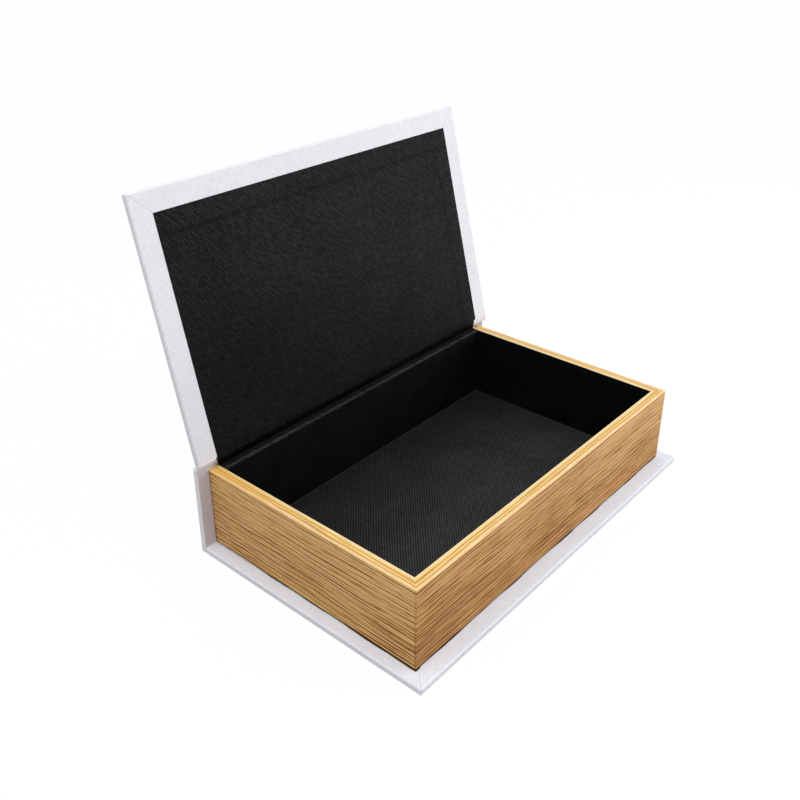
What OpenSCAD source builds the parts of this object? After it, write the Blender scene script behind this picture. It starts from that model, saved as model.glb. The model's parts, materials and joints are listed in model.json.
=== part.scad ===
// Book box: a white hardback case with a cloth-hinged lid, round an oak-faced tray lined in black cloth.
// The origin is the middle of the case's underside. +X runs along the spine from the tail to the head,
// +Y points at the spine and +Z is up. The lid is modelled open, as it stands when the box is in use.
// Sizes are in millimetres.

/* [Tray] */
// Outside length of the tray, along the spine
tray_length = 244; // [160:1:320]
// Outside depth of the tray, from the spine to the fore edge
tray_depth = 148; // [100:1:220]
// Height of the tray above the base
tray_height = 49; // [25:1:90]
// Thickness of the fibreboard inside each wall
wall_core = 6; // [4.5:0.5:9]
// Thickness of the oak veneer, and of the oak strip on the rim
oak = 0.7; // [0.5:0.1:1.2]
// Rounding of the oak's outer corners
oak_arris = 0.45; // [0.2:0.05:0.5]
// Rounding of the rim's inner edge
rim_inner_arris = 0.3; // [0.1:0.05:0.4]
// Height of the dark gap between the base and the foot of the oak
foot_gap = 1.1; // [0.4:0.1:1.5]
// How far that gap goes in from the outside of the tray
foot_recess = 2.5; // [1.5:0.5:4]

/* [Case] */
// Thickness of the grey board in the lid, the spine and the base
board = 3; // [2:0.1:4]
// Thickness of the white covering sheet
sheet = 0.5; // [0.4:0.05:0.7]
// Rounding of the covered edges
edge_radius = 1; // [0.9:0.05:1.25]
// How far the case stands past the tray at the tail and at the head
end_square = 7.5; // [4:0.5:14]
// How far the case stands past the tray at the fore edge
fore_square = 9.5; // [4:0.5:14]
// Width of the sheet that is folded in over the edges of a board
turn_in = 20; // [16:0.5:26]
// Width of the mitred seam where two folded edges meet
seam_width = 0.25; // [0.15:0.05:0.4]
// Depth of that seam
seam_depth = 0.15; // [0.1:0.05:0.3]

/* [Lining] */
// Thickness of the black lining cloth
lining = 0.4; // [0.3:0.05:0.6]
// White border left round the lining of the lid
lid_border = 12.5; // [8:0.5:15]
// Thickness of the card that the floor's lining is glued to
card = 1.3; // [0.8:0.1:3]
// How far the wall linings stop below the rim
lining_drop = 0.3; // [0.1:0.1:1]

/* [Hinge] */
// Bare cloth between the spine and the edge of the closed lid
joint_width = 9.5; // [8:0.5:12]
// Angle between the closed lid and the open lid
open_angle = 104; // [92:1:110]
// Gap between the closed lid's lining and the rim
seat_gap = 0.3; // [0.2:0.05:0.6]
// How far the spine's top stays below the outside of the closed lid
spine_drop = 1.5; // [1:0.1:2]
// Height of the fold line above the rim
fold_rise = 1; // [0.6:0.1:1.6]
// What the lid's foot clears the thickness of the case by as it swings
swing_clearance = 2; // [1.6:0.1:2.6]
// Width of rim that the hinge's lining is glued down to
glued_rim = 2.6; // [1.5:0.1:3]
// Slack of the black cloth in the fold
fold_slack = 1.3; // [1.1:0.05:1.4]
// How far the white sheet is led into the fold from the spine's top
spine_lead = 2.8; // [2.5:0.1:3]
// How far the white sheet is led into the fold from the lid's foot
lid_lead = 0.5; // [0.4:0.05:0.7]

/* [Hidden] */

// Overshoot of a cut past the face that it leaves through
over = 1;
// Straight stretches in one curve of folded cloth
fold_steps = 14;
$fn = 48;

// Case
wall = wall_core + oak;
case_thick = board + 2 * sheet;
case_length = tray_length + 2 * end_square;
case_depth = case_thick + tray_depth + fore_square;
case_front = -case_depth / 2;
case_back = case_depth / 2;
end_x = case_length / 2;

// Tray
tray_back = case_back - case_thick;
tray_front = tray_back - tray_depth;
tray_end = tray_length / 2;
base_top = case_thick;
veneer_foot = base_top + foot_gap;
rim_z = base_top + tray_height;
lining_top = rim_z - lining_drop;
lined_end = tray_end - wall - lining;
lined_front = tray_front + wall + lining;
lined_back = tray_back - wall - lining;

// Lid, as it lies when closed
lid_under = rim_z + seat_gap;
lid_face = lid_under + lining;
lid_board_z = lid_face + sheet;
lid_top = lid_face + case_thick;
lid_foot = tray_back - joint_width;
lid_width = lid_foot - case_front;
spine_top = lid_top - spine_drop;

// Fold line that the lid turns about
fold_y = lid_foot + case_thick + swing_clearance;
fold_z = rim_z + fold_rise;

WHITE = [0.93, 0.93, 0.95];
GREY_BOARD = [0.55, 0.53, 0.5];
FIBREBOARD = [0.62, 0.47, 0.32];
OAK = [0.76, 0.58, 0.36];
RIM_OAK = [0.86, 0.69, 0.42];
BLACK = [0.09, 0.09, 0.1];

// Where a point [y, z] of the closed lid comes to when the lid is open
function opened(p) =
    let (y = p[0] - fold_y, z = p[1] - fold_z)
    [fold_y + y * cos(open_angle) + z * sin(open_angle),
     fold_z - y * sin(open_angle) + z * cos(open_angle)];

// Turns what is built as the closed lid to where the open lid stands
module swung_open() {
    translate([0, fold_y, fold_z])
        rotate([-open_angle, 0, 0])
            translate([0, -fold_y, -fold_z])
                children();
}

// Extrudes a drawing of [y, z] points along X, between two places
module along_x(from, to) {
    translate([from, 0, 0])
        rotate([90, 0, 90])
            linear_extrude(to - from)
                children();
}

// Extrudes a drawing of [x, z] points along Y, between two places
module along_y(from, to) {
    translate([0, to, 0])
        rotate([90, 0, 0])
            linear_extrude(to - from)
                children();
}

// Box given by its lowest and its highest corner
module box(low, high) {
    translate(low)
        cube(high - low);
}

// What a quarter round takes off a corner: the corner is at the origin, and the round lies towards +X and +Y
module corner_waste(radius) {
    difference() {
        translate([-over, -over])
            square(radius + over);
        translate([radius, radius])
            circle(radius);
        translate([radius, -over])
            square([over, radius + 2 * over]);
    }
}

// Rectangle with its lowest and highest corner, rounded at the corners named in rounds: [at, turn, radius]
module eased_rectangle(low, high, rounds) {
    difference() {
        translate(low)
            square(high - low);
        for (corner = rounds)
            translate(corner[0])
                rotate(corner[1])
                    corner_waste(corner[2]);
    }
}

// Section of a covered board across X, rounded at both ends
module ends_section(z_low, z_high) {
    eased_rectangle([-end_x, z_low], [end_x, z_high],
        [[[-end_x, z_low], 0, edge_radius], [[end_x, z_low], 90, edge_radius],
         [[end_x, z_high], 180, edge_radius], [[-end_x, z_high], 270, edge_radius]]);
}

// Lid or base with its sheet, as one solid block, with a rounded fore edge and rounded fore-edge corners
module covered_block(y_back, z_low, z_high) {
    intersection() {
        along_y(case_front - over, y_back)
            ends_section(z_low, z_high);
        along_x(-end_x - over, end_x + over)
            eased_rectangle([case_front, z_low], [y_back, z_high],
                [[[case_front, z_low], 0, edge_radius], [[case_front, z_high], 270, edge_radius]]);
        translate([0, 0, z_low - over])
            linear_extrude(z_high - z_low + 2 * over)
                eased_rectangle([-end_x, case_front], [end_x, y_back],
                    [[[-end_x, case_front], 0, edge_radius], [[end_x, case_front], 90, edge_radius]]);
    }
}

// Grey board of the lid or the base
module flat_board(y_back, z_low) {
    box([-end_x + sheet, case_front + sheet, z_low], [end_x - sheet, y_back, z_low + board]);
}

// Space inside the folded-in edges, where the board is bare
module turn_in_window(y_back, z_low, z_high) {
    box([-end_x + turn_in, case_front + turn_in, z_low], [end_x - turn_in, y_back, z_high]);
}

// Mitred seams of the folded-in edges at the two fore-edge corners, cut into the face at height z
module mitre_seams(z) {
    for (side = [-1, 1])
        translate([side * end_x, case_front, z])
            rotate([0, 0, side * 45])
                translate([-seam_width / 2, 0, -seam_depth])
                    cube([seam_width, turn_in * sqrt(2), 2 * seam_depth]);
}

// Head side of the tray in plan, between two depths into the wall, mitred at the fore edge
function head_plan(outer, inner, back) =
    [[tray_end - outer, tray_front + outer], [tray_end - outer, back],
     [tray_end - inner, back], [tray_end - inner, tray_front + inner]];

// Fore-edge side of the tray in plan, mitred at both ends
function fore_plan(outer, inner) =
    [[-tray_end + outer, tray_front + outer], [tray_end - outer, tray_front + outer],
     [tray_end - inner, tray_front + inner], [-tray_end + inner, tray_front + inner]];

// A side of the tray raised from its plan
module raised(plan, bottom, top) {
    translate([0, 0, bottom])
        linear_extrude(top - bottom)
            polygon(plan);
}

// Outside of the tray, with its four corners eased
module tray_outside(bottom, top) {
    translate([0, 0, bottom])
        linear_extrude(top - bottom)
            eased_rectangle([-tray_end, tray_front], [tray_end, tray_back],
                [[[-tray_end, tray_front], 0, oak_arris], [[tray_end, tray_front], 90, oak_arris],
                 [[tray_end, tray_back], 180, oak_arris], [[-tray_end, tray_back], 270, oak_arris]]);
}

module at_tail() {
    mirror([1, 0, 0])
        children();
}

// Section of the oak strip on the rim: the outer face of the wall is at 0, and its thickness runs to +X
module rim_section() {
    eased_rectangle([0, rim_z - oak], [wall, rim_z],
        [[[0, rim_z], 270, oak_arris], [[wall, rim_z], 180, rim_inner_arris]]);
}

// Rim strip of one end of the tray, at the head, eased at its back end too
module end_rim() {
    intersection() {
        raised(head_plan(0, wall, tray_back), rim_z - oak, rim_z);
        tray_outside(rim_z - oak, rim_z);
        along_y(tray_front - over, tray_back + over)
            translate([tray_end, 0])
                mirror([1, 0])
                    rim_section();
        along_x(0, tray_end + over)
            eased_rectangle([tray_front - over, rim_z - oak], [tray_back, rim_z],
                [[[tray_back, rim_z], 180, oak_arris]]);
    }
}

// Point on the curve of a fold, from its four control points
function curve_point(c, t) =
    pow(1 - t, 3) * c[0] + 3 * pow(1 - t, 2) * t * c[1] + 3 * (1 - t) * pow(t, 2) * c[2] + pow(t, 3) * c[3];

// Direction of that curve, as a unit vector
function curve_heading(c, t) =
    let (d = pow(1 - t, 2) * (c[1] - c[0]) + 2 * (1 - t) * t * (c[2] - c[1]) + pow(t, 2) * (c[3] - c[2]))
    d / norm(d);

// The curve, moved sideways to its left by an offset
function curve_side(c, offset) =
    [for (i = [0 : fold_steps])
        let (t = i / fold_steps, h = curve_heading(c, t))
        curve_point(c, t) + offset * [-h[1], h[0]]];

function reversed(list) = [for (i = [len(list) - 1 : -1 : 0]) list[i]];

// Outline of a strip of cloth that follows a curve
function strip_outline(c, thickness) =
    concat(curve_side(c, -thickness / 2), reversed(curve_side(c, thickness / 2)));

// Middle of the white sheet in the hinge: from the spine's top, down into the fold and up to the lid
white_fold = [
    [tray_back, spine_top - sheet / 2],
    [tray_back - spine_lead, spine_top - sheet / 2],
    opened([lid_foot + lid_lead, lid_top - sheet / 2]),
    opened([lid_foot, lid_top - sheet / 2])
];

// Inside of that sheet where its ends are folded in, from the lid's inner face back to the spine
white_fold_inside = [
    opened([lid_foot, lid_face]),
    opened([lid_foot + fold_slack, lid_face]),
    [tray_back - fold_slack, spine_top - 2 * sheet],
    [tray_back, spine_top - 2 * sheet]
];

// Middle of the black cloth in the hinge: it leaves the rim and climbs to the lid's foot
glue_line = tray_back - wall + glued_rim;
black_fold = [
    [glue_line, rim_z - lining / 2],
    [glue_line + fold_slack, rim_z - lining / 2],
    opened([lid_foot + 2 * fold_slack, lid_board_z - lining / 2]),
    opened([lid_foot, lid_board_z - lining / 2])
];

// Grey board under the tray
module base_board() {
    color(GREY_BOARD)
        flat_board(tray_back - sheet, sheet);
}

// White sheet under and round the base board, folded in over its tail, head and fore edges
module base_cover() {
    color(WHITE)
        difference() {
            covered_block(tray_back, 0, base_top);
            flat_board(tray_back - sheet, sheet);
            turn_in_window(tray_back - sheet, sheet + board - over, base_top + over);
            mitre_seams(base_top);
        }
}

// Grey board in the spine
module spine_board() {
    color(GREY_BOARD)
        box([-end_x + sheet, tray_back + sheet, sheet], [end_x - sheet, case_back - sheet, spine_top - sheet]);
}

// White sheet over the spine, folded in at the tail and at the head
module spine_cover() {
    color(WHITE)
        difference() {
            intersection() {
                along_x(-end_x - over, end_x + over)
                    eased_rectangle([tray_back, 0], [case_back, spine_top],
                        [[[case_back, 0], 90, edge_radius], [[case_back, spine_top], 180, edge_radius]]);
                translate([0, 0, -over])
                    linear_extrude(spine_top + 2 * over)
                        eased_rectangle([-end_x, tray_back], [end_x, case_back],
                            [[[-end_x, tray_back], 0, edge_radius], [[end_x, tray_back], 90, edge_radius],
                             [[end_x, case_back], 180, edge_radius], [[-end_x, case_back], 270, edge_radius]]);
                along_y(tray_back - over, case_back + over)
                    ends_section(0, spine_top);
            }
            box([-end_x + sheet, tray_back + sheet, sheet], [end_x - sheet, case_back - sheet, spine_top - sheet]);
            box([-end_x + turn_in, tray_back - over, sheet], [end_x - turn_in, tray_back + board, spine_top - sheet]);
        }
}

// Fibreboard walls: the end walls run the whole depth, and the spine wall stands between them.
// The three outer ones stand on a foot that is set back, as the dark gap under the oak shows.
module head_wall() {
    color(FIBREBOARD) {
        raised(head_plan(oak, wall, tray_back), veneer_foot, rim_z - oak);
        raised(head_plan(foot_recess, wall, tray_back), base_top, veneer_foot);
    }
}

module tail_wall() {
    at_tail()
        head_wall();
}

module fore_edge_wall() {
    color(FIBREBOARD) {
        raised(fore_plan(oak, wall), veneer_foot, rim_z - oak);
        raised(fore_plan(foot_recess, wall), base_top, veneer_foot);
    }
}

module spine_wall() {
    color(FIBREBOARD)
        box([-tray_end + wall, tray_back - wall, base_top], [tray_end - wall, tray_back, rim_z - lining]);
}

// Oak veneer on the three walls that show
module head_veneer() {
    color(OAK)
        intersection() {
            raised(head_plan(0, oak, tray_back), veneer_foot, rim_z - oak);
            tray_outside(veneer_foot, rim_z - oak);
        }
}

module tail_veneer() {
    at_tail()
        head_veneer();
}

module fore_edge_veneer() {
    color(OAK)
        intersection() {
            raised(fore_plan(0, oak), veneer_foot, rim_z - oak);
            tray_outside(veneer_foot, rim_z - oak);
        }
}

// Oak strips on the rim, mitred at the fore-edge corners
module head_rim() {
    color(RIM_OAK)
        end_rim();
}

module tail_rim() {
    color(RIM_OAK)
        at_tail()
            end_rim();
}

module fore_edge_rim() {
    color(RIM_OAK)
        intersection() {
            raised(fore_plan(0, wall), rim_z - oak, rim_z);
            tray_outside(rim_z - oak, rim_z);
            along_x(-tray_end - over, tray_end + over)
                translate([tray_front, 0])
                    rim_section();
        }
}

// Card on the base board, pressed down over the folded-in edges of the base's sheet
module floor_card() {
    color(GREY_BOARD)
        difference() {
            box([-lined_end, lined_front, sheet + board], [lined_end, lined_back, sheet + board + card]);
            difference() {
                box([-end_x, case_front, sheet + board - over], [end_x, tray_back, base_top]);
                turn_in_window(tray_back, 0, base_top + over);
            }
        }
}

// Black cloth on the floor
module floor_lining() {
    color(BLACK)
        box([-lined_end, lined_front, sheet + board + card], [lined_end, lined_back, sheet + board + card + lining]);
}

// Black cloth on the inside of the end walls and of the fore-edge wall
module head_lining() {
    color(BLACK)
        raised(head_plan(wall, wall + lining, lined_back), base_top, lining_top);
}

module tail_lining() {
    at_tail()
        head_lining();
}

module fore_edge_lining() {
    color(BLACK)
        raised(fore_plan(wall, wall + lining), base_top, lining_top);
}

// Black cloth that is glued over the spine wall's rim and down its inside
module spine_wall_lining() {
    color(BLACK)
        along_x(-tray_end + wall, tray_end - wall)
            difference() {
                eased_rectangle([lined_back, base_top], [glue_line, rim_z], [[[lined_back, rim_z], 270, lining]]);
                translate([tray_back - wall, base_top - over])
                    square([wall + over, rim_z - lining - base_top + over]);
            }
}

// White sheet between the spine and the lid, folded in at its tail and head ends
module hinge_cover() {
    ends_outline = concat(curve_side(white_fold, -sheet / 2), curve_side(white_fold_inside, 0));
    color(WHITE) {
        along_x(-end_x, end_x)
            polygon(strip_outline(white_fold, sheet));
        for (side = [0, 1])
            mirror([side, 0, 0])
                along_x(tray_end - wall, end_x)
                    polygon(ends_outline);
    }
}

// Black cloth between the spine wall's rim and the lid
module hinge_lining() {
    color(BLACK)
        along_x(-tray_end + wall, tray_end - wall)
            polygon(strip_outline(black_fold, lining));
}

// Grey board in the lid
module lid_board() {
    color(GREY_BOARD)
        swung_open()
            flat_board(lid_foot, lid_board_z);
}

// White sheet round the lid board, folded in over its tail, head and fore edges
module lid_cover() {
    color(WHITE)
        swung_open()
            difference() {
                covered_block(lid_foot, lid_face, lid_top);
                flat_board(lid_foot + over, lid_board_z);
                turn_in_window(lid_foot + over, lid_face - over, lid_board_z + over);
                mitre_seams(lid_face);
            }
}

// Black cloth inside the lid: it steps down from the folded-in edges on to the board
module lid_lining() {
    color(BLACK)
        swung_open()
            difference() {
                box([-end_x + lid_border, case_front + lid_border, lid_under],
                    [end_x - lid_border, lid_foot, lid_board_z]);
                difference() {
                    box([-end_x, case_front, lid_face], [end_x, lid_foot + over, lid_board_z + over]);
                    turn_in_window(lid_foot + 2 * over, lid_face - over, lid_board_z + 2 * over);
                }
                box([-end_x + turn_in + lining, case_front + turn_in + lining, lid_under - over],
                    [end_x - turn_in - lining, lid_foot + over, lid_board_z - lining]);
            }
}

base_board();
base_cover();
spine_board();
spine_cover();
tail_wall();
head_wall();
fore_edge_wall();
spine_wall();
tail_veneer();
head_veneer();
fore_edge_veneer();
tail_rim();
head_rim();
fore_edge_rim();
floor_card();
floor_lining();
tail_lining();
head_lining();
fore_edge_lining();
spine_wall_lining();
hinge_cover();
hinge_lining();
lid_board();
lid_cover();
lid_lining();
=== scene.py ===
"""Book box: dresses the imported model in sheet, cloth and oak, and lights it as in the photograph.

Lengths in the code are in millimetres, and become metres where a mesh is made. Only the studio's
floor and lamps are in metres from the start.
"""
import json
import math

import bpy
import bmesh
from mathutils import Matrix, Vector, noise


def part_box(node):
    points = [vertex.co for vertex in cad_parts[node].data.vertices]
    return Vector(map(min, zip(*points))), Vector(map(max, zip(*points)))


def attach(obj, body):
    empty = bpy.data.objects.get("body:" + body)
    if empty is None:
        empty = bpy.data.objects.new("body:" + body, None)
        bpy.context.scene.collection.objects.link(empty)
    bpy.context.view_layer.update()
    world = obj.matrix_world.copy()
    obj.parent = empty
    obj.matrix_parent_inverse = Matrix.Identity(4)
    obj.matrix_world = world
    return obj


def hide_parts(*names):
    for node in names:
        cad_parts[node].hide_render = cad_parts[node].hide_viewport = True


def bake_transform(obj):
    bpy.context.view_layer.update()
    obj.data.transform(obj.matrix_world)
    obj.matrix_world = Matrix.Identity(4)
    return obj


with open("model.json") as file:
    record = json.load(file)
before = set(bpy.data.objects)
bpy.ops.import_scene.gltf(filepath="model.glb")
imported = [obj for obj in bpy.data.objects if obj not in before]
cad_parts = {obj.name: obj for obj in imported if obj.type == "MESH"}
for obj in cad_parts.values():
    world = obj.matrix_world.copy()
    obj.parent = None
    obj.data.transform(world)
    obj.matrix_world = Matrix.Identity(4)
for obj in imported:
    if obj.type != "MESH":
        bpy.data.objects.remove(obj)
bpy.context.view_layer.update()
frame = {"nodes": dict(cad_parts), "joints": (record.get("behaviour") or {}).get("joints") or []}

MM = 0.001
JOINT = frame["joints"][0]
AXIS = Vector(JOINT["pos_m"]) / MM
SWING = math.radians(JOINT["range_deg"][1] - JOINT["range_deg"][0])
CLOSING = Matrix.Translation(AXIS) @ Matrix.Rotation(SWING, 4, "X") @ Matrix.Translation(-AXIS)
OPENING = CLOSING.inverted()


def case_box(node):
    """Lowest and highest corner of a node of the case, in millimetres."""
    low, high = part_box(node)
    return low / MM, high / MM


def closed_box(node):
    """Lowest and highest corner of a node of the lid, as it lies when the lid is shut."""
    points = [CLOSING @ (v.co / MM) for v in frame["nodes"][node].data.vertices]
    return (Vector(min(p[i] for p in points) for i in range(3)),
            Vector(max(p[i] for p in points) for i in range(3)))


LID_LOW, LID_HIGH = closed_box("lid_cover")
LINING_LOW, LINING_HIGH = closed_box("lid_lining")
SPINE_LOW, SPINE_HIGH = case_box("spine_cover")
RIM_LOW, RIM_HIGH = case_box("tail_rim")
FORE_LOW, FORE_HIGH = case_box("fore_edge_rim")
FLOOR_LOW, FLOOR_HIGH = case_box("floor_lining")
RIM_CLOTH_LOW, RIM_CLOTH_HIGH = case_box("spine_wall_lining")

END_X = SPINE_HIGH.x
RIM_Z = RIM_HIGH.z
BASE_TOP = case_box("base_cover")[1].z
TRAY_END = -RIM_LOW.x
TRAY_FRONT = FORE_LOW.y
TRAY_BACK = SPINE_LOW.y
RIM_WIDTH = FORE_HIGH.y - FORE_LOW.y
LID_FOOT = LID_HIGH.y
SHEET = 0.5
LID_TURN_IN = 25.0
LINING = 0.4

TO_MM = (1 / MM, 1 / MM, 1 / MM)
CLOTH_MAP = "cloth"
LINEN_PITCH = 0.62
WALL_THREAD_PITCH = 0.7
# How near its seen face a point of the base's or the lid's sheet counts as being on it
FACE_DEPTH = 1.0
# Angle in degrees above which an edge of a cloth piece is shown sharp
SHARP_ANGLE = 50


# Helpers for numbers

def smooth(t):
    """Eased step from 0 to 1."""
    t = min(max(t, 0.0), 1.0)
    return t * t * (3 - 2 * t)


def mixed(a, b, t):
    return a + (b - a) * t


def stops(low, high, step, edges):
    """Places from low to high: about a step apart, and closer at both ends, where edges gives
    their distances from the end."""
    inner = [low + e for e in edges]
    outer = [high - e for e in reversed(edges)]
    count = max(1, round((outer[0] - inner[-1]) / step))
    between = [mixed(inner[-1], outer[0], i / count) for i in range(1, count)]
    return inner + between + outer


def linear(red, green, blue):
    """Scene colour of an 8-bit screen colour."""
    def one(value):
        c = value / 255
        return c / 12.92 if c <= 0.04045 else ((c + 0.055) / 1.055) ** 2.4
    return one(red), one(green), one(blue), 1.0


# Materials

class Paint:
    """Node tree of one material, with short calls for the nodes that it uses."""

    def __init__(self, name, roughness, specular):
        self.material = bpy.data.materials.new(name)
        self.material.use_nodes = True
        self.tree = self.material.node_tree
        self.tree.nodes.clear()
        self.output = self.tree.nodes.new("ShaderNodeOutputMaterial")
        self.shader = self.tree.nodes.new("ShaderNodeBsdfPrincipled")
        self.tree.links.new(self.shader.outputs["BSDF"], self.output.inputs["Surface"])
        self.shader.inputs["Roughness"].default_value = roughness
        self.shader.inputs["Specular IOR Level"].default_value = specular

    def put(self, socket, value):
        if isinstance(value, bpy.types.NodeSocket):
            self.tree.links.new(value, socket)
        else:
            socket.default_value = value

    def node(self, kind, values, output=0, **settings):
        made = self.tree.nodes.new(kind)
        for key, value in settings.items():
            setattr(made, key, value)
        for key, value in values.items():
            self.put(made.inputs[key], value)
        return made.outputs[output]

    def math(self, operation, a, b=0.0):
        return self.node("ShaderNodeMath", {0: a, 1: b}, operation=operation)

    def add(self, total, *others):
        for other in others:
            total = self.math("ADD", total, other)
        return total

    def minus(self, a, b):
        return self.math("SUBTRACT", a, b)

    def times(self, product, *others):
        for other in others:
            product = self.math("MULTIPLY", product, other)
        return product

    def absolute(self, value):
        return self.math("ABSOLUTE", value)

    def wave(self, value, pitch):
        """Sine along a value, with one turn in each pitch."""
        return self.math("SINE", self.times(value, 2 * math.pi / pitch))

    def spread(self, value, low, high, to_low=0.0, to_high=1.0):
        """A value moved from one range to another, and held inside it."""
        return self.node("ShaderNodeMapRange", {0: value, 1: low, 2: high, 3: to_low, 4: to_high},
                         interpolation_type="SMOOTHSTEP")

    def vector(self, x, y, z):
        return self.node("ShaderNodeCombineXYZ", {0: x, 1: y, 2: z})

    def parts(self, vector):
        made = self.tree.nodes.new("ShaderNodeSeparateXYZ")
        self.put(made.inputs[0], vector)
        return made.outputs[0], made.outputs[1], made.outputs[2]

    def noise(self, vector, scale=1.0, detail=2.0, rough=0.5):
        return self.node("ShaderNodeTexNoise",
                         {"Vector": vector, "Scale": scale, "Detail": detail, "Roughness": rough})

    def field(self, *axes, detail=2.0, rough=0.5):
        """Noise over a stretched place. An axis is a value with its factor, or a value or number as it is."""
        place = [self.times(*axis) if isinstance(axis, tuple) else axis for axis in axes]
        return self.noise(self.vector(*place), 1.0, detail, rough)

    def blend(self, factor, a, b, how="MIX"):
        return self.node("ShaderNodeMix", {0: factor, 6: a, 7: b}, output=2, data_type="RGBA",
                         blend_type=how)

    def ramp(self, value, colours):
        made = self.tree.nodes.new("ShaderNodeValToRGB")
        self.put(made.inputs[0], value)
        elements = made.color_ramp.elements
        while len(elements) < len(colours):
            elements.new(0.5)
        for element, (place, colour) in zip(elements, colours):
            element.position = place
            element.color = colour
        return made.outputs[0]

    def bump(self, height, depth, strength):
        """Relief that is depth millimetres deep where the height goes from 0 to 1."""
        return self.node("ShaderNodeBump", {"Height": height, "Distance": depth * MM, "Strength": strength})

    def stretched(self, place, factors):
        return self.node("ShaderNodeVectorMath", {0: place, 1: factors}, operation="MULTIPLY")

    def place(self, closed=False):
        """Place on the object in millimetres. closed is for the lid's nodes: their place when it is shut."""
        place = self.stretched(self.node("ShaderNodeTexCoord", {}, output=3), TO_MM)
        if closed:
            place = self.node("ShaderNodeMapping",
                              {0: place, 1: CLOSING.to_translation(), 2: (SWING, 0, 0)},
                              vector_type="POINT")
        return place

    def cloth_place(self):
        """Place on the flat cloth in millimetres, from the mesh's own map."""
        return self.stretched(self.node("ShaderNodeUVMap", {}, uv_map=CLOTH_MAP), TO_MM)

    def finish(self, colour, normal, roughness=None):
        self.put(self.shader.inputs["Base Color"], colour)
        self.put(self.shader.inputs["Normal"], normal)
        if roughness is not None:
            self.put(self.shader.inputs["Roughness"], roughness)
        return self.material


def mitre_shade_and_highlight(p, colour, x, y, inner):
    """Painted shade in a sheet's creases at its corners, where its folded-in edges meet, and a painted
    highlight on the raised line beside each.
    """
    seam = p.add(p.minus(p.absolute(x), END_X), p.minus(y, LID_LOW.y))
    crease = p.spread(p.absolute(seam), 0.1, 0.45, 1.0, 0.0)
    raised = p.spread(p.absolute(p.minus(seam, 0.9)), 0.1, 0.9, 1.0, 0.0)
    # Painted shade in the crease
    colour = p.blend(p.times(crease, inner, 0.35), colour, linear(190, 188, 196))
    # Painted highlight on the raised line
    return p.blend(p.times(raised, inner, 0.5), colour, linear(250, 250, 253))


def lid_painted_light(p, colour, x, y, z):
    """Painted light on the lid's sheet: lighter on its inside, more so towards the head, and painted shade at
    its foot towards the tail.
    """
    inner = p.math("LESS_THAN", z, LID_LOW.z + FACE_DEPTH)
    # Painted light: the inside is lighter, more so towards the head
    colour = p.blend(inner, colour, p.spread(x, -20.0, 120.0, 1.028, 1.065), "MULTIPLY")
    # Painted shade at the foot, strongest towards the tail
    foot = p.times(p.spread(y, LID_FOOT - 110.0, LID_FOOT), p.spread(x, END_X, -END_X, 0.0, 0.22))
    colour = p.blend(foot, colour, linear(190, 189, 195))
    return mitre_shade_and_highlight(p, colour, x, y, inner)


def base_painted_light(p, colour, x, y, z):
    """Painted light on the base's sheet: its upper side is tinted cooler than its edges, and painted shade
    darkens it at the fore edge. A dark brown painted shadow lies where the tray stands on it."""
    inner = p.math("GREATER_THAN", z, BASE_TOP - FACE_DEPTH)
    # Painted light and shade: the upper side is tinted cool, and darker on the fore margin
    fore = p.times(p.spread(y, TRAY_FRONT - 2.0, TRAY_FRONT, 1.0, 0.0), p.spread(x, -TRAY_END, -60.0))
    tint = p.blend(fore, (0.975, 1.02, 1.045, 1.0), (0.91, 0.98, 1.01, 1.0))
    colour = mitre_shade_and_highlight(p, p.blend(inner, colour, tint, "MULTIPLY"), x, y, inner)
    # Painted shadow: dark brown under the tray's foot, reaching a little beyond it on the tail side near the
    # front corner
    outside = p.math("MAXIMUM", p.minus(p.absolute(x), TRAY_END), p.minus(TRAY_FRONT, y))
    uneven = p.field((x, 0.03), (y, 0.03), 0.0, detail=3.0)
    corner = p.times(p.spread(x, -TRAY_END + 2.0, -TRAY_END + 4.0, 1.0, 0.3),
                     p.spread(y, -60.0, 10.0, 1.0, 0.0))
    reach = p.add(p.spread(uneven, 0.35, 0.65, -0.8, 0.1), p.times(corner, 0.7))
    clear = p.math("MAXIMUM", p.spread(p.minus(outside, reach), -0.3, 0.3),
                   p.math("LESS_THAN", z, BASE_TOP - FACE_DEPTH))
    return p.blend(clear, linear(88, 66, 46), colour)


def spine_painted_shade(p, colour, x, y, z):
    """Painted shade on the spine's sheet on the side of the tray, tinted warm as a painted reflection of the
    oak.
    """
    # Painted shade near the tray, tinted warm as a painted reflection of the oak
    painted_tray_shade = p.spread(y, TRAY_BACK + 0.1, TRAY_BACK + 0.6, 0.5, 0.0)
    return p.blend(painted_tray_shade, colour, linear(164, 146, 144))


def white_sheet(part, shades=None):
    """Cool white covering sheet of one part of the case, with a fine linen grain. shades, when given, paints
    the part's light and shade on it.
    """
    p = Paint("white_sheet_of_" + part, 0.75, 0.12)
    place = p.cloth_place() if part == "hinge" else p.place(closed=part == "lid")
    x, y, z = p.parts(place)
    threads = p.add(p.wave(x, LINEN_PITCH), p.wave(y, LINEN_PITCH), p.wave(z, LINEN_PITCH))
    slubs = p.noise(place, 0.9, 3.0, 0.65)
    specks = p.noise(place, 2.6, 2.0, 0.6)
    clouds = p.noise(place, 0.045, 2.0, 0.5)
    tone = p.add(p.add(p.times(slubs, 0.5), p.times(specks, 0.36)),
                 p.add(p.times(clouds, 0.14), p.times(threads, 0.02)))
    colour = p.ramp(p.spread(tone, 0.33, 0.67), [
        (0.0, linear(226, 225, 231)), (0.5, linear(237, 236, 241)), (1.0, linear(243, 243, 247))])
    if shades:
        colour = shades(p, colour, x, y, z)
    height = p.add(p.times(threads, 0.16), p.add(slubs, p.times(specks, 0.6)))
    return p.finish(colour, p.bump(height, 0.06, 0.8))


def scaled(colour, level):
    return tuple(c * level for c in colour[:3]) + (1.0,)


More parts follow.
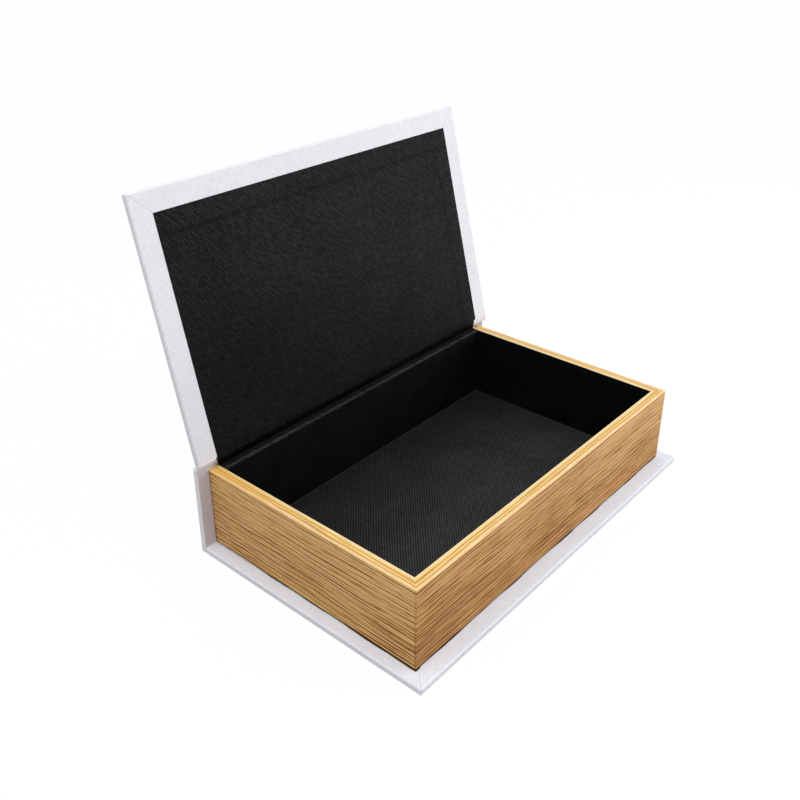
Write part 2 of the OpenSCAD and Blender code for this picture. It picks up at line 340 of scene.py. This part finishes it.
def twill(name, level=1.0, pitch=1.41, angle=45.0, ribs=0.92, dots=0.7, fuzziness=0.8,
          thinnest=0.5, shaded=None):
    """Black lining cloth: a twill whose ribs run along one diagonal, made of short raised threads.
    shaded turns the place on the cloth into how light it is there."""
    p = Paint(name, 0.6, 0.06)
    u, v, _ = p.parts(p.cloth_place())
    lean = p.field((u, 0.02), (v, 0.02), 0.0)
    turned, drift, float_pitch = math.radians(angle), 0.6, 1.6
    across = p.minus(p.times(u, math.cos(turned)), p.times(v, math.sin(turned)))
    along = p.add(p.times(u, math.sin(turned)), p.times(v, math.cos(turned)))
    rib_turn = p.times(p.add(across, p.times(lean, drift)), 2 * math.pi / pitch)
    rib = p.math("SINE", rib_turn)
    float_turn = p.minus(p.times(along, 2 * math.pi / float_pitch), p.times(rib_turn, 0.11))
    floats = p.math("SINE", float_turn)
    dashes = p.field((across, 0.6), (along, 0.2), 0.0, detail=1.0)
    fuzz = p.noise(p.vector(u, v, 0.0), 1.4, 2.0, 0.7)
    broad = p.field((u, 0.03), (v, 0.03), 3.0, detail=3.0)
    raised = p.times(p.spread(rib, -0.9, 0.9, 1.0 - ribs, 1.0), p.spread(floats, -1.0, 0.9, dots, 1.0))
    shade = p.times(raised, p.spread(dashes, 0.3, 0.7, thinnest, 1.0))
    shade = p.add(shade, p.times(p.minus(fuzz, 0.5), fuzziness), p.times(p.minus(broad, 0.5), 0.4))
    colour = p.ramp(shade, [
        (0.0, scaled(linear(10, 10, 10), level)), (0.4, scaled(linear(28, 28, 28), level)),
        (1.0, scaled(linear(64, 64, 63), level))])
    if shaded:
        colour = p.node("ShaderNodeVectorMath", {0: colour, "Scale": shaded(p, u, v)}, operation="SCALE")
    height = p.add(raised, p.times(fuzz, 0.3))
    return p.finish(colour, p.bump(height, 0.12, 0.7))


def lid_shading(p, u, v):
    """Painted shade: the lid's lining is darker towards its foot, most of all in the tail corner, and where
    it steps off the sheet."""
    # Painted shade towards the foot, the tail corner and the step
    lean = p.minus(v, p.times(u, 0.4))
    foot = p.spread(v, LID_FOOT - 6.0, LID_FOOT, 1.0, 0.78)
    uneven = p.field((u, 0.02), (v, 0.02), 7.0)
    step = p.minus(v, p.add(p.times(uneven, 5.0), LID_LOW.y + LID_TURN_IN - 2.5))
    crease = p.spread(p.absolute(step), 0.3, 2.8, p.spread(uneven, 0.35, 0.65, 0.64, 0.96), 1.0)
    return p.times(p.spread(lean, -50.0, 80.0, 1.0, 0.4), foot, crease)


def floor_shading(p, u, v):
    """Painted shade darkens the floor's cloth towards the hinge, and a painted highlight lightens it along
    the edge of its card.
    """
    edge = p.minus(FLOOR_HIGH.y, v)
    # Painted highlight along the edge of the card
    edge_highlight = p.spread(edge, 0.4, 1.5, 1.0, 0.0)
    return p.add(p.spread(v, -40.0, 75.0, 1.0, 0.42), p.times(edge_highlight, 0.5))


def fold_shading(p, u, v):
    """Painted shade makes the fold black in its valley, and a painted highlight lightens the ridge where the
    cloth turns down.
    """
    reach = 12.0
    place = p.times(p.minus(v, LID_FOOT), 1 / reach)
    # Painted shade in the valley, painted highlight on the ridge
    levels = [(0.0, 0.7), (1.2, 0.6), (2.2, 0.2), (2.9, 0.03), (6.4, 0.03), (7.0, 0.4), (9.3, 0.8),
              (10.1, 2.3), (10.5, 4.0), (10.9, 3.6), (11.5, 0.8)]
    return p.ramp(place, [(at / reach, (level, level, level, 1.0)) for at, level in levels])


def wall_cloth(name):
    """The same cloth on the tray's walls, seen along the grain: smoother and nearly black."""
    p = Paint(name, 0.6, 0.06)
    u, v, _ = p.parts(p.cloth_place())
    thread = p.add(p.wave(u, WALL_THREAD_PITCH), p.wave(v, WALL_THREAD_PITCH))
    nap = p.field((u, 1.2), (v, 0.5), 0.0, detail=3.0, rough=0.6)
    broad = p.field((u, 0.04), (v, 0.06), 5.0)
    tone = p.add(p.times(nap, 0.5), p.times(broad, 0.5), p.times(thread, 0.03))
    colour = p.ramp(tone, [(0.32, linear(3, 5, 4)), (0.68, linear(20, 21, 21))])
    return p.finish(colour, p.bump(p.add(p.times(thread, 0.3), nap), 0.1, 0.5))


def oak(name):
    """Straight-grained oak veneer. Its grain runs on round the tray's corners, because x - y goes along
    every outer face of the tray."""
    p = Paint(name, 0.5, 0.2)
    x, y, v = p.parts(p.place())
    u = p.minus(x, y)
    w = p.add(x, y)
    slow = p.field((u, 0.009), (v, 0.03), (w, 0.01))
    quick = p.field((u, 0.035), (v, 0.09), (w, 0.03), detail=1.0)
    bend = p.add(p.times(slow, 5.0), p.times(quick, 1.2))
    bent = p.add(v, p.times(bend, p.spread(x, 60.0, TRAY_END, 1.0, 0.5)))
    front = p.spread(p.minus(TRAY_FRONT + 1.5, y), 0.0, 1.0)

    def grain(length, pitch, detail, seed):
        return p.field((u, 1 / length), (bent, 1 / pitch), p.add(p.times(w, 0.5 / length), seed),
                       detail=detail, rough=0.55)

    def lines(pitch, wander, thin, seed):
        """Dark lines of the summer wood, about a pitch apart."""
        place = p.add(bent, p.times(grain(90.0, 6.0, 2.0, seed), wander))
        return p.spread(p.wave(place, pitch), thin, 1.0)

    def darkened(tone, marks, at_ends, at_front):
        """The marks are taken off the tone by one share on the end faces and another on the front."""
        return p.minus(tone, p.times(marks, p.spread(front, 0.0, 1.0, at_ends, at_front)))

    coarse = p.times(lines(3.1, 4.8, -0.15, 0.0), p.spread(grain(40.0, 2.6, 2.0, 3.0), 0.3, 0.6, 0.4, 1.0))
    fine = p.times(lines(1.7, 2.4, -0.3, 5.0), p.spread(grain(40.0, 2.0, 1.0, 8.0), 0.35, 0.65, 0.6, 1.0))
    dashes = p.spread(grain(9.0, 0.6, 2.0, 11.0), 0.48, 0.66)
    streaks = p.spread(grain(16.0, 1.3, 3.0, 14.0), 0.3, 0.7)
    broad = p.spread(grain(50.0, 8.0, 2.0, 17.0), 0.3, 0.7)
    tone = p.add(0.79, p.times(broad, 0.2), p.times(streaks, 0.2))
    tone = darkened(tone, coarse, 0.58, 0.34)
    tone = darkened(tone, fine, 0.76, 0.53)
    tone = darkened(tone, dashes, 0.26, 0.18)
    # Painted light: lighter towards the rim, darker towards the foot
    tone = p.add(tone, p.spread(v, BASE_TOP, RIM_Z, -0.05, 0.23))
    # Painted shade in the gap where the veneer's back end meets the spine
    tone = p.minus(tone, p.spread(y, TRAY_BACK - 2.0, TRAY_BACK - 0.3, 0.0, 0.5))
    # The front face is a darker tone all along, and painted shade makes it darker still towards the tail
    # corner
    tone = p.minus(tone, p.times(front, p.spread(x, -TRAY_END, 110.0, 0.395, 0.27)))
    yellow = p.ramp(tone, [(0.0, linear(112, 67, 21)), (0.3, linear(168, 118, 52)),
                           (0.6, linear(208, 161, 92)), (0.95, linear(232, 189, 122))])
    red = p.ramp(tone, [(0.0, linear(116, 66, 28)), (0.3, linear(174, 119, 62)),
                        (0.6, linear(208, 156, 97)), (0.95, linear(226, 181, 125))])
    stain = p.field((u, 0.03), (v, 0.1), (w, 0.04))
    colour = p.blend(p.add(p.spread(stain, 0.4, 0.7, 0.0, 0.5), p.times(front, 0.45)), yellow, red)
    return p.finish(colour, p.bump(tone, 0.1, 0.6), p.spread(tone, 0.0, 1.0, 0.6, 0.45))


def rim_oak(name):
    """Pale oak strip on the rim, with golden lines that meet at the mitres."""
    p = Paint(name, 0.42, 0.35)
    x, y, z = p.parts(p.place())
    depth = p.math("MINIMUM", p.minus(TRAY_END, p.absolute(x)), p.minus(y, TRAY_FRONT))
    u = p.minus(x, y)
    wander = p.field((u, 0.022), (depth, 0.25), 0.0)
    fibres = p.field((u, 0.08), (depth, 2.6), (z, 2.0), rough=0.6)
    share = p.add(p.times(depth, 1 / RIM_WIDTH), p.times(p.minus(wander, 0.5), 0.4))
    bands = p.ramp(share, [
        (0.0, linear(255, 222, 164)), (0.2, linear(255, 228, 166)), (0.3, linear(200, 146, 72)),
        (0.38, linear(255, 204, 122)), (0.48, linear(255, 230, 156)), (0.58, linear(204, 146, 62)),
        (0.7, linear(255, 226, 148)), (0.86, linear(255, 232, 176))])
    darker = p.ramp(p.spread(fibres, 0.3, 0.7), [(0.0, linear(230, 216, 198)), (1.0, linear(255, 255, 255))])
    colour = p.blend(1.0, bands, darker, "MULTIPLY")
    warm = p.times(p.spread(y, 0.0, 70.0, 0.0, 0.38), p.math("LESS_THAN", x, 0.0))
    colour = p.blend(warm, colour, linear(238, 172, 66))
    # Painted highlight along the rim's inner arris
    arris_highlight = p.spread(depth, RIM_WIDTH - 0.55, RIM_WIDTH - 0.3)
    colour = p.blend(p.times(arris_highlight, 0.5), colour, linear(244, 228, 196))
    return p.finish(colour, p.bump(fibres, 0.06, 0.5))


def grey_board(name, closed=False):
    """Grey board of pressed fibres."""
    p = Paint(name, 0.85, 0.2)
    place = p.place(closed)
    flock = p.noise(place, 1.4, 4.0, 0.7)
    fibres = p.noise(p.stretched(place, (0.5, 3.0, 6.0)), 1.0, 3.0)
    tone = p.add(p.times(flock, 0.6), p.times(fibres, 0.4))
    colour = p.ramp(tone, [(0.3, linear(128, 124, 117)), (0.7, linear(176, 171, 162))])
    return p.finish(colour, p.bump(tone, 0.1, 0.6))


def fibreboard(name):
    """Brown fibreboard of the walls, darker at its foot with painted shade for the gap under the veneer."""
    p = Paint(name, 0.8, 0.2)
    place = p.place()
    _, _, z = p.parts(place)
    flock = p.noise(place, 1.8, 4.0, 0.7)
    # Painted shade at the foot, for the gap under the veneer
    foot = p.spread(z, BASE_TOP + 1.0, BASE_TOP + 3.0)
    colour = p.ramp(p.add(p.times(flock, 0.6), p.times(foot, 0.4)), [
        (0.2, linear(44, 32, 22)), (0.5, linear(96, 70, 46)), (0.9, linear(158, 126, 92))])
    return p.finish(colour, p.bump(flock, 0.1, 0.6))


MATERIALS = {
    "spine_sheet": white_sheet("spine", spine_painted_shade),
    "base_sheet": white_sheet("base", base_painted_light),
    "lid_sheet": white_sheet("lid", lid_painted_light),
    "hinge_sheet": white_sheet("hinge"),
    "lid_twill": twill("black_twill_of_lid", level=1.1, ribs=0.96, dots=0.57, fuzziness=1.2,
                       shaded=lid_shading),
    "fold_twill": twill("black_twill_of_fold", shaded=fold_shading),
    "floor_twill": twill("black_twill_of_floor", level=1.25, pitch=1.48, angle=47.4, ribs=0.5, dots=0.9,
                         fuzziness=0.45, thinnest=0.8, shaded=floor_shading),
    "wall": wall_cloth("black_wall_cloth"),
    "oak": oak("oak_face"),
    "rim": rim_oak("oak_rim"),
    "board": grey_board("grey_board_of_case"),
    "lid_board": grey_board("grey_board_of_lid", closed=True),
    "fibreboard": fibreboard("wall_fibreboard"),
}

DRESSED = {
    "spine_sheet": ["spine_cover"],
    "base_sheet": ["base_cover"],
    "lid_sheet": ["lid_cover"],
    "board": ["base_board", "spine_board", "floor_card"],
    "lid_board": ["lid_board"],
    "fibreboard": ["tail_wall", "head_wall", "fore_edge_wall", "spine_wall"],
    "oak": ["tail_veneer", "head_veneer", "fore_edge_veneer"],
    "rim": ["fore_edge_rim", "tail_rim", "head_rim"],
}
for paint, nodes in DRESSED.items():
    for node in nodes:
        data = frame["nodes"][node].data
        data.materials.clear()
        data.materials.append(MATERIALS[paint])


# Cloth pieces

def two_sided(name, face, back, flat, paints, second=None):
    """Closed cloth: rows of points of its seen face and of its back, with the flat place of each point
    of the face. second tells by the middle of a face of the mesh whether it gets the second paint."""
    rows, columns = len(face), len(face[0])
    count = rows * columns
    points = [Vector(p) * MM for side in (face, back) for row in side for p in row]
    flats = [Vector(p) * MM for row in flat for p in row] * 2

    def at(r, c, side):
        return r * columns + c + side * count

    faces = []
    for r in range(rows - 1):
        for c in range(columns - 1):
            faces.append((at(r, c, 0), at(r + 1, c, 0), at(r + 1, c + 1, 0), at(r, c + 1, 0)))
            faces.append((at(r, c, 1), at(r, c + 1, 1), at(r + 1, c + 1, 1), at(r + 1, c, 1)))
    for r in range(rows - 1):
        for c in (0, columns - 1):
            faces.append((at(r, c, 0), at(r, c, 1), at(r + 1, c, 1), at(r + 1, c, 0)))
    for c in range(columns - 1):
        for r in (0, rows - 1):
            faces.append((at(r, c, 0), at(r, c + 1, 0), at(r, c + 1, 1), at(r, c, 1)))
    mesh = bpy.data.meshes.new(name)
    mesh.from_pydata(points, [], faces)
    shape = bmesh.new()
    shape.from_mesh(mesh)
    bmesh.ops.recalc_face_normals(shape, faces=shape.faces)
    shape.to_mesh(mesh)
    shape.free()
    layer = mesh.uv_layers.new(name=CLOTH_MAP)
    for loop in mesh.loops:
        layer.data[loop.index].uv = flats[loop.vertex_index][:2]
    for paint in paints:
        mesh.materials.append(MATERIALS[paint])
    if second:
        for polygon in mesh.polygons:
            polygon.material_index = int(second(polygon.center / MM))
    mesh.shade_smooth()
    mesh.set_sharp_from_angle(angle=math.radians(SHARP_ANGLE))
    piece = bpy.data.objects.new(name, mesh)
    bpy.context.scene.collection.objects.link(piece)
    return piece


def round_off(distance, radius):
    """How far a rounded edge has dropped at a distance from the edge."""
    if distance >= radius:
        return 0.0
    return radius - math.sqrt(max(0.0, radius * radius - (radius - distance) ** 2))


def ripple(x, y, size, seed):
    return noise.noise(Vector((x / size, y / size, seed)))


EDGE_STOPS = [0.0, 0.05, 0.15, 0.3, 0.5, 0.8]


def floor_cloth():
    """Cloth on the floor, turned down round the edges of its card."""
    xs = stops(FLOOR_LOW.x, FLOOR_HIGH.x, 4.0, EDGE_STOPS + [1.5])
    ys = stops(FLOOR_LOW.y, FLOOR_HIGH.y, 4.0, EDGE_STOPS + [1.5])

    def top(x, y):
        edge = min(x - FLOOR_LOW.x, FLOOR_HIGH.x - x, y - FLOOR_LOW.y, FLOOR_HIGH.y - y)
        swell = 0.06 * ripple(x, y, 38, 1.0) * smooth(edge / 12)
        return FLOOR_HIGH.z - 0.7 * round_off(edge, 0.5) + swell

    face = [[(x, y, top(x, y)) for y in ys] for x in xs]
    back = [[(x, y, FLOOR_LOW.z) for y in ys] for x in xs]
    flat = [[(x, y, 0) for y in ys] for x in xs]
    piece = two_sided("floor_lining_cloth", face, back, flat, ["floor_twill"])
    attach(piece, "case")
    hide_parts("floor_lining")


def wall_lining(name, node, along, inward):
    """Cloth on one wall of the tray. along is the axis that it runs along, and inward the sign of its
    seen side."""
    low, high = case_box(node)
    across = 1 - along
    glued = low[across] if inward > 0 else high[across]
    seen = high[across] if inward > 0 else low[across]
    steps = stops(low[along], high[along], 5.0, [0.0, 0.2, 0.5, 1.2])
    levels = stops(low.z, high.z, 4.0, [0.0, 0.1, 0.25, 0.5])

    def point(depth, a, z):
        made = [0.0, 0.0, z]
        made[along] = a
        made[across] = depth
        return made

    def front(a, z):
        drop = round_off(high.z - z, 0.3)
        middle = smooth((high.z - z) / 6) * smooth((z - low.z) / 6)
        swell = 0.05 * ripple(a, z, 22, low[along]) * middle
        return seen + inward * (swell - drop)

    face = [[point(front(a, z), a, z) for z in levels] for a in steps]
    back = [[point(glued, a, z) for z in levels] for a in steps]
    flat = [[(a, z, 0) for z in levels] for a in steps]
    piece = two_sided(name, face, back, flat, ["wall"])
    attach(piece, "case")
    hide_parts(node)


def lid_step(x, y):
    """1 where the lid's lining lies on the bare board, and 0 on the folded-in edges of the sheet."""
    inside = min(END_X - LID_TURN_IN - abs(x), y - LID_LOW.y - LID_TURN_IN)
    return smooth((inside + 1.2) / 2.4)


def lid_cloth():
    """Cloth inside the lid, which steps down from the folded-in edges on to the board."""
    step_edges = EDGE_STOPS + [1.5, 4.0, 8.0, 10.5, 11.3, 11.7, 12.1, 12.5, 12.9, 13.3, 13.7, 14.5]
    xs = stops(LINING_LOW.x, LINING_HIGH.x, 4.0, step_edges)
    ys = [LINING_LOW.y + e for e in step_edges]
    rest = 34
    ys += [mixed(ys[-1], LINING_HIGH.y, i / rest) for i in range(1, rest + 1)]
    depth = LID_LOW.z + SHEET - LINING_LOW.z - LINING

    def under(x, y):
        edge = min(x - LINING_LOW.x, LINING_HIGH.x - x, y - LINING_LOW.y)
        swell = 0.07 * ripple(x, y, 42, 2.0) * smooth(edge / 10) * smooth((LINING_HIGH.y - y) / 8)
        return LINING_LOW.z + depth * lid_step(x, y) + 0.8 * round_off(edge, 0.4) + swell

    face = [[OPENING @ Vector((x, y, under(x, y))) for y in ys] for x in xs]
    back = [[OPENING @ Vector((x, y, LINING_LOW.z + LINING + depth * lid_step(x, y))) for y in ys]
            for x in xs]
    flat = [[(x, y, 0) for y in ys] for x in xs]
    piece = two_sided("lid_lining_cloth", face, back, flat, ["lid_twill"])
    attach(piece, "lid")
    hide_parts("lid_lining")


def path_lengths(path):
    """Length along a path of [y, z] points up to each of them."""
    lengths = [0.0]
    for a, b in zip(path, path[1:]):
        lengths.append(lengths[-1] + math.dist(a, b))
    return lengths


def shifted(path, distance):
    """A path of [y, z] points moved to its left."""
    made = []
    for i, p in enumerate(path):
        a, b = path[max(i - 1, 0)], path[min(i + 1, len(path) - 1)]
        dy, dz = b[0] - a[0], b[1] - a[1]
        size = math.hypot(dy, dz)
        made.append((p[0] - distance * dz / size, p[1] + distance * dy / size))
    return made


def opened(y, z):
    """Where a point [y, z] of the closed lid is when the lid is open."""
    p = OPENING @ Vector((0, y, z))
    return p.y, p.z


def from_point(origin, steps):
    return [(origin[0] + dy, origin[1] + dz) for dy, dz in steps]


GLUE_LINE = RIM_CLOTH_HIGH.y
WALL_FACE = RIM_CLOTH_LOW.y
HINGE_PATH = from_point((GLUE_LINE, RIM_Z), [
    (0.0, 0.0), (0.8, 0.0), (1.5, 0.02), (1.95, 0.12), (2.2, 0.4), (2.25, 0.9), (2.1, 1.7), (1.95, 2.6),
    (1.9, 3.8), (1.95, 5.2)]) + [opened(LID_FOOT, LID_LOW.z + SHEET - LINING)]
HINGE_LENGTHS = path_lengths(HINGE_PATH)
HINGE_RUN = HINGE_LENGTHS[-1]


def rim_cloth():
    """Cloth glued over the spine wall's rim, with a soft ridge where it turns down into the tray."""
    turned = 1.5
    path = [(GLUE_LINE, RIM_Z), (GLUE_LINE - 0.6, RIM_Z)] + from_point((WALL_FACE, RIM_Z), [
        (1.6, 0.02), (1.3, 0.12), (1.0, 0.2), (0.7, 0.2), (0.4, 0.1), (0.15, -0.1), (0.03, -0.4),
        (-0.02, -0.8), (0.0, -turned)])
    levels = 11
    path += [(WALL_FACE, mixed(RIM_Z - turned, RIM_CLOTH_LOW.z, i / levels)) for i in range(1, levels + 1)]
    lengths = path_lengths(path)
    inside = shifted(path, LINING)
    xs = stops(RIM_CLOTH_LOW.x, RIM_CLOTH_HIGH.x, 2.0, [0.0, 0.1, 0.3, 0.6, 1.2])

    def seen(x, i):
        y, z = path[i]
        uneven = 0.05 * ripple(x, lengths[i], 7, 3.0) * smooth((lengths[i] - 0.5) / 1.5)
        if z > RIM_Z - 1.2:
            return x, y, z + uneven
        return x, y - uneven, z

    face = [[seen(x, i) for i in range(len(path))] for x in xs]
    back = [[(x, y, z) for y, z in inside] for x in xs]
    start = LID_FOOT + HINGE_RUN
    flat = [[(x, start + s, 0) for s in lengths] for x in xs]
    piece = two_sided("spine_wall_cloth", face, back, flat, ["fold_twill", "wall"],
                      second=lambda p: p.z < RIM_Z - 0.45)
    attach(piece, "case")
    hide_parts("spine_wall_lining")


def hinge_cloth():
    """Black cloth from the rim up to the lid's foot, with a fold between them, shaped as it lies with the lid
    open.
    """
    side_y, side_z = opened(LID_FOOT, LINING_LOW.z)
    foot_y, foot_z = HINGE_PATH[-1]
    inside = shifted(HINGE_PATH, -LINING)
    inside[0] = (GLUE_LINE, RIM_Z - LINING)
    inside[1] = (HINGE_PATH[1][0], RIM_Z - LINING)
    inside[-1] = opened(LID_FOOT, LID_LOW.z + SHEET)
    low, high = RIM_CLOTH_LOW.x, RIM_CLOTH_HIGH.x
    widening = (LINING_HIGH.x - high) / high
    xs = stops(low, high, 2.5, [0.0, 0.1, 0.3, 0.6, 1.2, 3.0, 6.0, 9.0, 9.6, 10.2, 10.8, 11.4, 12.0])

    def moved(x, i, p):
        share = HINGE_LENGTHS[i] / HINGE_RUN
        wide = x * (1 + (widening * smooth(share * 3 - 0.6) if x < 0 else 0))
        lift = (1 - lid_step(wide, LID_FOOT)) * smooth(share * 1.4 - 0.4)
        uneven = 0.08 * ripple(x, HINGE_LENGTHS[i], 9, 6.0) * smooth(share * 5) * smooth((1 - share) * 4)
        return wide, p[0] + lift * (side_y - foot_y) - uneven, p[1] + lift * (side_z - foot_z)

    face = [[moved(x, i, p) for i, p in enumerate(HINGE_PATH)] for x in xs]
    back = [[moved(x, i, p) for i, p in enumerate(inside)] for x in xs]
    flat = [[(x, LID_FOOT + HINGE_RUN - s, 0) for s in HINGE_LENGTHS] for x in xs]
    piece = two_sided("hinge_lining_cloth", face, back, flat, ["fold_twill"])
    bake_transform(piece)
    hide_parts("hinge_lining")


def hinge_sheet():
    """White sheet between spine and lid. Its folded-in ends are a wedge, and it sinks into a groove
    between them."""
    corner = (SPINE_LOW.y, SPINE_HIGH.z)
    top, under, lid_face = (opened(LID_FOOT, z) for z in (LID_HIGH.z, LID_HIGH.z - SHEET, LID_LOW.z))
    groove = from_point(corner, [
        (0, 0), (-0.6, -0.2), (-1.1, -0.3), (-0.95, 0.25), (-0.3, 1.05), (0.5, 1.85)]) + [top]
    ends = from_point(corner, [
        (0, 0), (-0.35, 0), (-0.6, 0.12), (-0.6, 0.4), (-0.25, 0.9), (0.5, 1.65)]) + [top]
    groove_in = from_point(corner, [
        (0, -0.5), (-0.65, -0.7), (-1.5, -0.78), (-1.4, 0.3), (-0.75, 1.35), (0.15, 2.25)]) + [under]
    tail_in = from_point(corner, [
        (0, -1.0), (-0.7, -0.2), (-1.15, 0.6), (-1.5, 1.4), (-1.85, 2.1), (-2.5, 2.8)]) + [lid_face]
    head_in = from_point(corner, [
        (0, -1.0), (-1.4, -1.3), (-2.5, -1.0), (-3.0, 0.2), (-3.0, 1.4), (-2.7, 2.6)]) + [lid_face]
    lengths = path_lengths(groove)
    xs = stops(-END_X, END_X, 3.0, [
        0.0, 0.04, 0.12, 0.25, 0.45, 0.7, 1.2, 3.0, 6.0, 9.0, 11.0, 11.8, 12.2, 12.6, 13.6, 14.0, 14.4,
        14.8, 15.2, 17.0, 20.0, 23.0])

    def section(x):
        end = END_X - abs(x)
        deep = smooth((end - 3) / 20)
        ends_in, wedge = (head_in, 14.4) if x > 0 else (tail_in, 11.8)
        thin = smooth((end - wedge) / 0.8)
        outside = [(mixed(a[0], b[0], deep), mixed(a[1], b[1], deep)) for a, b in zip(ends, groove)]
        inside = [(mixed(a[0], b[0], thin), mixed(a[1], b[1], thin)) for a, b in zip(ends_in, groove_in)]
        shrink = round_off(end, 1.0)
        made_out, made_in = [], []
        for a, b in zip(outside, inside):
            half = math.dist(a, b) / 2
            keep = max(half - shrink, 0.4 * half) / half
            middle_y, middle_z = (a[0] + b[0]) / 2, (a[1] + b[1]) / 2
            made_out.append((x, mixed(middle_y, a[0], keep), mixed(middle_z, a[1], keep)))
            made_in.append((x, mixed(middle_y, b[0], keep), mixed(middle_z, b[1], keep)))
        return made_out, made_in

    sections = [section(x) for x in xs]
    face = [s[0] for s in sections]
    back = [s[1] for s in sections]
    flat = [[(x, LID_FOOT + lengths[-1] - s, 0) for s in lengths] for x in xs]
    piece = two_sided("hinge_cover_sheet", face, back, flat, ["hinge_sheet"])
    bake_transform(piece)
    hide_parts("hinge_cover")


floor_cloth()
wall_lining("tail_wall_cloth", "tail_lining", 1, 1)
wall_lining("head_wall_cloth", "head_lining", 1, -1)
wall_lining("fore_edge_wall_cloth", "fore_edge_lining", 0, 1)
lid_cloth()
hinge_cloth()
rim_cloth()
hinge_sheet()


# Floor, light and camera

SKY_LOW = 0.46
SKY_HIGH = 1.08
SKY_COLOUR = (0.985, 0.983, 1.0, 1.0)
WHITE = (1.0, 1.0, 1.0, 1.0)
# How much of the floor that the camera sees is plain white; the rest takes the box's shadow
FLOOR_WHITENESS = 0.93

# Camera fitted to the box's own edges in the photograph
CAMERA_PLACE = (-377.3, -282.2, 344.27)
CAMERA_TILT = 26.388
CAMERA_TURN = -49.1426
CAMERA_LENS = 42.319
CAMERA_SHIFT = -0.075


def direct_ray(tree):
    """1 for a ray from the camera, off a glossy surface or through glass."""
    rays = tree.nodes.new("ShaderNodeLightPath")
    first = tree.nodes.new("ShaderNodeMath")
    second = tree.nodes.new("ShaderNodeMath")
    first.operation = second.operation = "MAXIMUM"
    tree.links.new(rays.outputs["Is Camera Ray"], first.inputs[0])
    tree.links.new(rays.outputs["Is Glossy Ray"], first.inputs[1])
    tree.links.new(first.outputs[0], second.inputs[0])
    tree.links.new(rays.outputs["Is Transmission Ray"], second.inputs[1])
    return second.outputs[0]


def floor_stage():
    """Pale floor, a little under the box: the camera sees it nearly white, with the box's soft shadow."""
    size = 6.0
    mesh = bpy.data.meshes.new("studio_floor")
    corners = [(-size, -size, 0), (size, -size, 0), (size, size, 0), (-size, size, 0)]
    mesh.from_pydata(corners, [], [(0, 1, 2, 3)])
    p = Paint("studio_floor", 0.9, 0.0)
    grain = p.noise(p.place(), 0.02, 2.0)
    shades = p.ramp(grain, [(0.2, (0.41, 0.4, 0.4, 1)), (0.8, (0.45, 0.44, 0.44, 1))])
    p.put(p.shader.inputs["Base Color"], shades)
    white = p.node("ShaderNodeEmission", {"Color": WHITE, "Strength": 1.0})
    pale = p.node("ShaderNodeBsdfDiffuse", {"Color": WHITE})
    seen = p.node("ShaderNodeMixShader", {0: FLOOR_WHITENESS, 1: pale, 2: white})
    p.put(p.output.inputs["Surface"],
          p.node("ShaderNodeMixShader", {0: direct_ray(p.tree), 1: p.shader.outputs["BSDF"], 2: seen}))
    mesh.materials.append(p.material)
    floor = bpy.data.objects.new("studio_floor", mesh)
    floor.location.z = -0.1 * MM
    bpy.context.scene.collection.objects.link(floor)


def sky():
    """Soft studio light, stronger from above, and white to the camera."""
    world = bpy.data.worlds.new("studio")
    world.use_nodes = True
    tree = world.node_tree
    tree.nodes.clear()
    direction = tree.nodes.new("ShaderNodeTexCoord")
    parts = tree.nodes.new("ShaderNodeSeparateXYZ")
    strength = tree.nodes.new("ShaderNodeMapRange")
    light, white = tree.nodes.new("ShaderNodeBackground"), tree.nodes.new("ShaderNodeBackground")
    mix = tree.nodes.new("ShaderNodeMixShader")
    output = tree.nodes.new("ShaderNodeOutputWorld")
    strength.inputs["To Min"].default_value = SKY_LOW
    strength.inputs["To Max"].default_value = SKY_HIGH
    light.inputs["Color"].default_value = SKY_COLOUR
    white.inputs["Color"].default_value = WHITE
    for source, target in (
            (direction.outputs["Generated"], parts.inputs[0]), (parts.outputs[2], strength.inputs["Value"]),
            (strength.outputs[0], light.inputs["Strength"]), (direct_ray(tree), mix.inputs[0]),
            (light.outputs[0], mix.inputs[1]), (white.outputs[0], mix.inputs[2]),
            (mix.outputs[0], output.inputs[0])):
        tree.links.new(source, target)
    bpy.context.scene.world = world


def lamp(name, place, target, size, power, colour):
    """Round lamp at a place, turned to a target. Both are in metres, and the power is in watts."""
    data = bpy.data.lights.new(name, "AREA")
    data.shape = "DISK"
    data.size = size
    data.energy = power
    data.color = colour
    made = bpy.data.objects.new(name, data)
    made.location = place
    made.rotation_euler = (Vector(target) - Vector(place)).to_track_quat("-Z", "Y").to_euler()
    bpy.context.scene.collection.objects.link(made)


def camera():
    """Camera at the photograph's viewing angle."""
    data = bpy.data.cameras.new("photograph_view")
    data.sensor_width = 36.0
    data.lens = CAMERA_LENS
    data.shift_y = CAMERA_SHIFT
    data.clip_start = 0.01
    made = bpy.data.objects.new("photograph_view", data)
    made.location = Vector(CAMERA_PLACE) * MM
    made.rotation_euler = (math.radians(90 - CAMERA_TILT), 0.0, math.radians(CAMERA_TURN))
    bpy.context.scene.collection.objects.link(made)
    bpy.context.scene.camera = made


floor_stage()
sky()
lamp("key", (0.58, -0.68, 0.26), (0.0, 0.0, 0.06), 0.45, 2.35, (1.0, 0.99, 0.98))
lamp("top", (-0.35, -0.3, 0.9), (-0.1, 0.0, 0.05), 0.5, 2.05, (0.99, 0.985, 1.0))
camera()

bpy.context.scene.view_settings.view_transform = "Standard"
